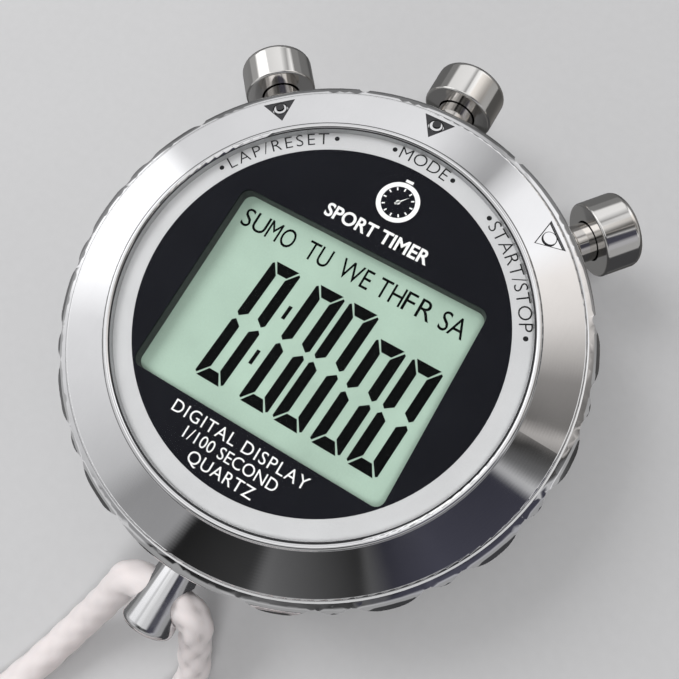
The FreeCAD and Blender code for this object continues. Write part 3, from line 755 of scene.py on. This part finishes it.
def swept(line, radius):
    """Corners and faces of a closed tube along a line; radius has a row for each point of the line."""
    count, around = radius.shape
    side, lift = carried_frames(line)
    turn = 2 * math.pi * np.arange(around) / around
    circle = np.cos(turn)[None, :, None] * side[:, None, :] + np.sin(turn)[None, :, None] * lift[:, None, :]
    verts = (line[:, None, :] + circle * radius[:, :, None]).reshape(-1, 3)
    faces = [(ring * around + k, ring * around + (k + 1) % around,
              (ring + 1) * around + (k + 1) % around, (ring + 1) * around + k)
             for ring in range(count - 1) for k in range(around)]
    faces += [tuple(range(around))[::-1], tuple((count - 1) * around + k for k in range(around))]
    return verts.tolist(), faces


def braid_height(turn, along):
    """Height from 0 to 1 of a plain braid, at a turn round the cord and a distance along it.

    Two sets of strands wind opposite ways, and each crossing lifts one over the other.
    """
    lift, roundness, switch = 0.5, 0.8, 3
    lowest, span = 0.3, 1.2
    left = BRAID_STRANDS * (turn + along / BRAID_PITCH)
    right = BRAID_STRANDS * (turn - along / BRAID_PITCH)
    a, b = np.cos(math.pi * left), np.cos(math.pi * right)
    over = np.abs(a) ** roundness + lift * b * np.tanh(switch * a)
    under = np.abs(b) ** roundness - lift * a * np.tanh(switch * b)
    return np.clip((np.maximum(over, under) - lowest) / span, 0.0, 1.0)


def braid_tube(name, points, relief):
    """A closed braided tube along the points, with rounded ends; relief is the depth of its grooves.

    Its vertex colours hold painted shade for the grooves: 1 on the strands, lower the deeper a groove is, and
    nearer 1 on braids shallower than PLAITED.
    """
    end_length, end_share = 1.2, 0.04
    around = CORD_SIDES
    line, marks = evenly(points, CORD_STEP * MM)
    turn = np.arange(around) / around
    height = braid_height(turn[None, :], marks[:, None] / MM)
    radius = CORD_D / 2 - relief * (1 - height)
    rounding = np.minimum(marks, marks[-1] - marks)[:, None] / MM
    radius = radius * np.sqrt(np.clip(1 - (1 - np.clip(rounding / end_length, 0, 1)) ** 2, end_share, 1))
    verts, faces = swept(line, radius * MM)
    made = piece(name, verts, faces, finishes["white_cord"])
    mesh = made.data
    tint = mesh.color_attributes.new("painted_groove_shade", "FLOAT_COLOR", "POINT")
    # Painted shade: darker where a groove is deeper, in proportion to the braid's relief.
    painted_groove_shades = np.repeat(1 - (1 - height.reshape(-1, 1)) * min(1.0, relief / PLAITED), 4, axis=1)
    painted_groove_shades[:, 3] = 1.0
    tint.data.foreach_set("color", painted_groove_shades.ravel())
    layer = mesh.uv_layers.new(name="cord")
    corner = np.zeros(len(mesh.loops), np.int32)
    mesh.loops.foreach_get("vertex_index", corner)
    across = np.abs((corner % around) / around - 0.5) * 2
    along = marks[corner // around] / MM / BRAID_PITCH
    layer.data.foreach_set("uv", np.stack([across, along], axis=1).ravel())
    return made, [Vector(p) for p in line]


def make_knot():
    """A barrel knot: three wraps round both strands, and the two cut ends standing out of it."""
    wrap_r, wraps, per_turn = 4.2, 3, 12
    strand_x = CORD_D / 2
    half = wraps * CORD_D / 2
    helix = []
    for step in range(wraps * per_turn + 1):
        angle = 2 * math.pi * step / per_turn
        y = KNOT.y + half - CORD_D / 2 - (2 * half - CORD_D) * step / (wraps * per_turn)
        helix.append((KNOT.x + wrap_r * math.cos(angle), y, KNOT.z + wrap_r * math.sin(angle)))
    wrap, _ = braid_tube("lanyard_knot_wraps", spline_points("wraps", helix), PULLED)
    stubs = []
    for side in (-1, 1):
        x = KNOT.x + side * strand_x
        route = [(x, KNOT.y + half, KNOT.z), (x, KNOT.y, KNOT.z),
                 (x + side * 0.5, KNOT.y - half, KNOT.z - 0.6),
                 (x + side * 1.2, KNOT.y - half - 2.6, KNOT.z - 1.8)]
        stub, _ = braid_tube(f"lanyard_knot_end_{side % 3}", spline_points("end", route), PULLED)
        stubs.append(stub)
    for made in (wrap, *stubs):
        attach(made, "case")
    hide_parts("lanyard_knot")
    return [wrap, *stubs]


def make_tie():
    """A closed strap of woven tape with rounded corners, round the coil's section."""
    r_in, r_out, low, high = 16.9, 25.3, TIE_T, 13.2
    half_w, corner, steps = 3.0, 1.9, 6
    thick, shoulder, bevel = 0.5, 0.36, 0.3
    centre_x = COIL_X + (r_in + r_out) / 2
    half_x, half_z, middle_z = (r_out - r_in) / 2, (high - low) / 2, (high + low) / 2
    path = []
    for quarter, (sx, sz) in enumerate(((1, 1), (-1, 1), (-1, -1), (1, -1))):
        for step in range(steps + 1):
            angle = math.radians(90 * quarter + 90 * step / steps)
            path.append((centre_x + sx * (half_x - corner) + corner * math.cos(angle),
                         middle_z + sz * (half_z - corner) + corner * math.sin(angle),
                         math.cos(angle), math.sin(angle)))
    section = [(0.0, -half_w), (0.0, half_w), (shoulder, half_w), (thick, half_w - bevel),
               (thick, -half_w + bevel), (shoulder, -half_w)]
    verts, faces = [], []
    for x, z, nx, nz in path:
        verts += [((x + nx * out) * MM, (COIL_Y + y) * MM, (z + nz * out) * MM) for out, y in section]
    count, rows = len(section), len(path)
    for row in range(rows):
        after = (row + 1) % rows
        faces += [(row * count + k, row * count + (k + 1) % count, after * count + (k + 1) % count,
                   after * count + k) for k in range(count)]
    tie = piece("coil_tie_strap", verts, faces, finishes["tie_fabric"])
    tie.data.set_sharp_from_angle(angle=SHARP_ANGLE)
    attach(tie, "case")
    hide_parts("coil_tie")
    return tie


def make_lanyard():
    """Both strands from the post's cross hole, the coil, the knot and the tie."""
    knot_pieces = make_knot()
    tie = make_tie()
    left, left_path = braid_tube("lanyard_strand_left", spline_points("left", left_route), PULLED)
    whole_route = right_route + coil_turns() + tail_route
    right, right_path = braid_tube("lanyard_strand_right", spline_points("right", whole_route), PLAITED)
    for made, path, way, nodes_for in ((left, left_path, -1, ["lanyard_cord_left"]),
                                       (right, right_path, 1, ["lanyard_cord_right", "lanyard_coil",
                                                               "lanyard_cord_tail"])):
        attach(made, "case")
        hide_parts(*nodes_for)


# ---- return springs ----
def make_return_springs():
    """The button springs as round wire."""
    low, high = (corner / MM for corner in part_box("mode_button_spring"))
    wire_r, wire_sides, turns, per_turn = 0.17, 12, 7, 28
    coil_r, length = high.x - wire_r, high.y - low.y
    for name, angle in BUTTONS:
        outward, across = polar(1, angle, 0), polar(1, angle + 90, 0)
        seat = polar(low.y, angle, (low.z + high.z) / 2)
        line = []
        for step in range(turns * per_turn + 1):
            turn = 2 * math.pi * step / per_turn
            rise = wire_r + (length - 2 * wire_r) * step / (turns * per_turn)
            round_axis = across * math.sin(turn) + Vector((0, 0, math.cos(turn)))
            line.append(seat + outward * rise + round_axis * coil_r)
        line = np.array(line) * MM
        verts, faces = swept(line, np.full((len(line), wire_sides), wire_r * MM))
        spring = piece(name + "_return_spring", verts, faces, finishes["spring_steel"])
        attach(spring, "case")
        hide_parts(name + "_button_spring")
        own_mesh(spring)


# ---- studio ----
def make_floor():
    """A plain pale table top with a faint satin grain.

    The metals don't mirror it: below the horizon they mirror the dark lower side of the world instead.
    """
    half = 1.5
    low_tone, high_tone = (0.46, 0.46, 0.465), (0.52, 0.52, 0.525)
    r = Recipe("pale_floor", Roughness=0.55)
    grain = r.noise(700.0, 4.0)
    cloud = r.noise(9.0, 2.0)
    r.set(Base_Color=r.ramp(r.sum(cloud, grain, 0.3), (0.4, low_tone), (0.95, high_tone)),
          Normal=r.bump(grain, 0.12, 0.05))
    floor = piece("floor", [(-half, -half, 0), (half, -half, 0), (half, half, 0), (-half, half, 0)],
                  [(0, 1, 2, 3)], r.material, smooth=False)
    floor.visible_glossy = False


STUDIO_RING = (
    (0, 0.33), (2, 0.62), (7, 0.94), (20, 1.05), (27, 0.86), (38, 0.72), (48, 0.42), (53, 0.25),
    (66, 0.16), (69, 0.5), (72, 0.25), (74, 0.03), (81, 0.18), (85, 0.63), (88, 0.05), (122, 0.075),
    (138, 0.045), (145, 0.12), (148, 0.035), (178, 0.145), (182, 0.04), (203, 0.013), (206, 0.31),
    (219, 0.28), (226, 0.52), (246, 0.72), (259, 0.80), (270, 1.3), (292, 1.3), (296, 0.72),
    (346, 0.82), (359, 0.38))


def ring_colour(angle, level):
    """A grey of the studio's ring, bluish between right and viewer, and warm between top and right."""
    if 88 <= angle <= 138:
        return (level, level, level * 1.35, 1)
    if 27 <= angle <= 80:
        return (level * 1.045, level, level * 0.96, 1)
    return (level, level, level * 1.01, 1)


def make_studio():
    """A ring of soft panels at mid height, as brightness by clock angle, over a low glow round the horizon.

    The ring is brightest on the left and dark toward the viewer. The camera sees only a plain pale grey.
    """
    world = bpy.data.worlds.new("studio")
    scene.world = world
    world.use_nodes = True
    tree = world.node_tree
    link = tree.links.new
    place = tree.nodes.new("ShaderNodeTexCoord").outputs["Generated"]
    axes = tree.nodes.new("ShaderNodeSeparateXYZ")
    link(place, axes.inputs[0])

    def maths(operation, first, second=None):
        """The result of a Math node on sockets or numbers."""
        node = tree.nodes.new("ShaderNodeMath")
        node.operation = operation
        for socket, value in zip(node.inputs, (first, second)):
            if isinstance(value, bpy.types.NodeSocket):
                link(value, socket)
            elif value is not None:
                socket.default_value = value
        return node.outputs[0]

    def band(value, start, end, low, high):
        """A number that runs from low to high as value goes from start to end."""
        node = tree.nodes.new("ShaderNodeMapRange")
        link(value, node.inputs["Value"])
        for name, number in (("From Min", start), ("From Max", end), ("To Min", low), ("To Max", high)):
            node.inputs[name].default_value = number
        return node.outputs[0]

    turn = maths("ARCTAN2", axes.outputs["X"], axes.outputs["Y"])
    clock = maths("FRACT", maths("DIVIDE", turn, 2 * math.pi))
    ring = tree.nodes.new("ShaderNodeValToRGB")
    link(clock, ring.inputs[0])
    marks = ring.color_ramp.elements
    while len(marks) < len(STUDIO_RING):
        marks.new(0.5)
    for mark, (angle, level) in zip(marks, STUDIO_RING):
        mark.position, mark.color = angle / 360, ring_colour(angle, level)

    background = tree.nodes["Background"]
    link(ring.outputs["Color"], background.inputs["Color"])
    height = axes.outputs["Z"]
    panel_tops, panel_feet = band(height, 0.80, 0.97, 1.0, 0.25), band(height, 0.34, 0.44, 0.15, 1.0)
    link(maths("MULTIPLY", panel_tops, panel_feet), background.inputs["Strength"])
    toward_viewer = maths("SUBTRACT", maths("MULTIPLY", axes.outputs["X"], 0.5), axes.outputs["Y"])
    lowered = maths("SUBTRACT", height, band(toward_viewer, 0.15, 0.5, 0.0, 0.20))
    glow_top, below_horizon = band(lowered, 0.34, 0.46, 0.42, 0.0), band(height, -0.02, 0.04, 0.12, 1.0)
    near_side = band(toward_viewer, -0.6, -0.1, 0.25, 1.0)
    glow = maths("MULTIPLY", maths("MULTIPLY", glow_top, below_horizon), near_side)
    overhead = band(height, 0.89, 0.94, 0.0, 0.8)
    horizon = tree.nodes.new("ShaderNodeBackground")
    link(maths("ADD", glow, overhead), horizon.inputs["Strength"])
    both = tree.nodes.new("ShaderNodeAddShader")
    link(background.outputs[0], both.inputs[0])
    link(horizon.outputs[0], both.inputs[1])
    plain = tree.nodes.new("ShaderNodeBackground")
    plain.inputs["Color"].default_value = (0.75, 0.75, 0.76, 1)
    seen = tree.nodes.new("ShaderNodeLightPath").outputs["Is Camera Ray"]
    either = tree.nodes.new("ShaderNodeMixShader")
    link(seen, either.inputs[0])
    link(both.outputs[0], either.inputs[1])
    link(plain.outputs[0], either.inputs[2])
    link(either.outputs[0], tree.nodes["World Output"].inputs["Surface"])
    scene.view_settings.view_transform = "Standard"


def softbox(name, clock, elevation, distance, size, radiance):
    """A square area light aimed at the watch, of a given radiance and clock angle.

    Neither the camera nor a mirroring surface sees it, so the metals mirror only the studio's ring.
    """
    data = bpy.data.lights.new(name, "AREA")
    data.size = size
    data.energy = radiance * math.pi * size * size
    light = bpy.data.objects.new(name, data)
    flat = distance * math.cos(math.radians(elevation))
    place = polar(flat, clock, distance * math.sin(math.radians(elevation)))
    light.matrix_world = Matrix.Translation(place) @ place.to_track_quat("Z", "Y").to_matrix().to_4x4()
    light.visible_camera = False
    light.visible_glossy = False
    scene.collection.objects.link(light)


make_camera()
make_lanyard()
finish_cad_nodes()
make_lens()
make_ring_legends()
make_dial_emblem()
make_dial_text()
make_button_marks()
make_display()
make_return_springs()
make_floor()
make_studio()
softbox("key", 282, 48, 0.6, 0.28, 7.0)
softbox("fill", 126, 74, 0.8, 0.24, 13.5)
